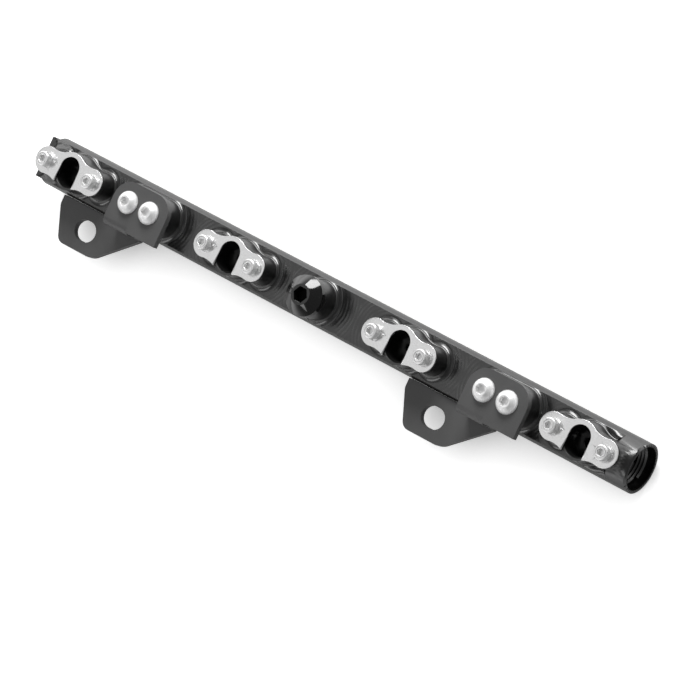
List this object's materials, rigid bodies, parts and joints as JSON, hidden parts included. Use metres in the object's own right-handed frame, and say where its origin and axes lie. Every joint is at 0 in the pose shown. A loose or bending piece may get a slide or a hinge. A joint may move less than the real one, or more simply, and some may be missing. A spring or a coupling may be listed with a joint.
{
  "type": "fuel rail",
  "caption": "Machined tubular fuel rail with raised injector bosses, screwed-on injector clips, two bolt-on sheet brackets, a plugged middle port and an open threaded end port.",
  "frame": {"origin": "midway between the two bracket holes, on the face of the tabs that meets the manifold", "axes": "+X along the rail towards its open port; +Z the way the injectors point; -Y is the side the bracket tabs hang on"},
  "size_m": [0.3383, 0.0432, 0.0338],
  "materials": {
    "rail_anodised": "black anodised, machined, semi-gloss",
    "clip_plate": "clear anodised, satin",
    "cap_screw": "plain stainless",
    "bracket_coat": "matt black coat",
    "button_screw": "bright stainless",
    "plug_anodised": "gloss black anodised"
  },
  "bodies": {
    "root": {"rail_body": "rail_anodised", "injector_clip_1": "clip_plate", "injector_clip_2": "clip_plate", "injector_clip_3": "clip_plate", "injector_clip_4": "clip_plate", "clip_screw_1a": "cap_screw", "clip_screw_1b": "cap_screw", "clip_screw_2a": "cap_screw", "clip_screw_2b": "cap_screw", "clip_screw_3a": "cap_screw", "clip_screw_3b": "cap_screw", "clip_screw_4a": "cap_screw", "clip_screw_4b": "cap_screw", "bracket_1": "bracket_coat", "bracket_2": "bracket_coat", "bracket_screw_1a": "button_screw", "bracket_screw_1b": "button_screw", "bracket_screw_2a": "button_screw", "bracket_screw_2b": "button_screw", "port_plug": "plug_anodised"}
  },
  "joints": []
}
